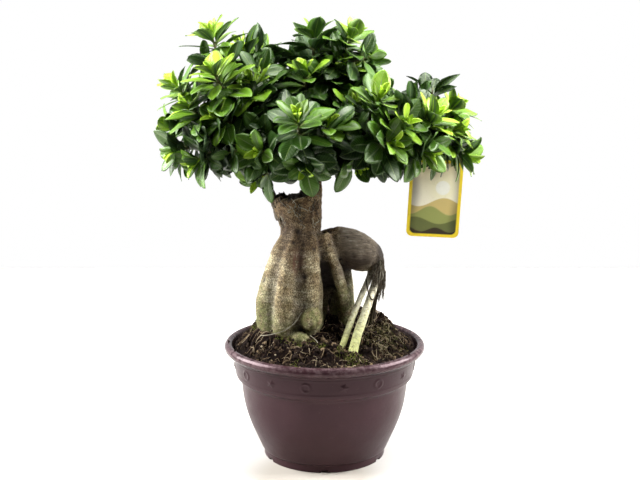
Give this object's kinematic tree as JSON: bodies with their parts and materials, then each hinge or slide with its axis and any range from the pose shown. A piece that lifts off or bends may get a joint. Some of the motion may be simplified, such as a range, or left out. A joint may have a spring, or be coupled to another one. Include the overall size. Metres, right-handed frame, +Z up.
{
  "type": "potted ginseng ficus",
  "caption": "Small ficus tree on swollen exposed roots, with a dense leafy crown and a hanging card tag, growing in a round plastic bowl pot full of soil.",
  "frame": {"origin": "centre of the pot's flat base, on the surface it stands on", "axes": "+Z up along the pot's axis, -Y towards the front, +X to the right of someone facing the front"},
  "size_m": [0.3457, 0.2963, 0.476],
  "materials": {
    "pot_plastic": "satin moulded plastic, dark purplish brown",
    "potting_soil": "crumbly dark peat compost with tan fibres",
    "bark": "pebbly grey-brown bark with green algae low down",
    "leaf": "glossy waxed dark-green leaf, yellow-green when young",
    "card": "glossy printed card with a yellow edge"
  },
  "bodies": {
    "root": {"pot": "pot_plastic", "soil": "potting_soil", "tree": "bark", "care_tag": "card", "shoot_01": "leaf", "shoot_02": "leaf", "shoot_03": "leaf", "shoot_04": "leaf", "shoot_05": "leaf", "shoot_06": "leaf", "shoot_07": "leaf", "shoot_08": "leaf", "shoot_09": "leaf", "shoot_10": "leaf", "shoot_11": "leaf", "shoot_12": "leaf", "shoot_13": "leaf", "shoot_14": "leaf", "shoot_15": "leaf", "shoot_16": "leaf", "shoot_17": "leaf", "shoot_18": "leaf", "shoot_19": "leaf", "shoot_20": "leaf", "shoot_21": "leaf", "shoot_22": "leaf", "shoot_23": "leaf", "shoot_24": "leaf", "shoot_25": "leaf", "shoot_26": "leaf", "shoot_27": "leaf", "shoot_28": "leaf", "shoot_29": "leaf", "shoot_30": "leaf", "shoot_31": "leaf", "shoot_32": "leaf", "shoot_33": "leaf", "shoot_34": "leaf", "shoot_35": "leaf", "shoot_36": "leaf", "shoot_37": "leaf", "shoot_38": "leaf", "shoot_39": "leaf", "shoot_40": "leaf", "shoot_41": "leaf", "shoot_42": "leaf", "shoot_43": "leaf", "shoot_44": "leaf", "shoot_45": "leaf", "shoot_46": "leaf"}
  },
  "joints": []
}
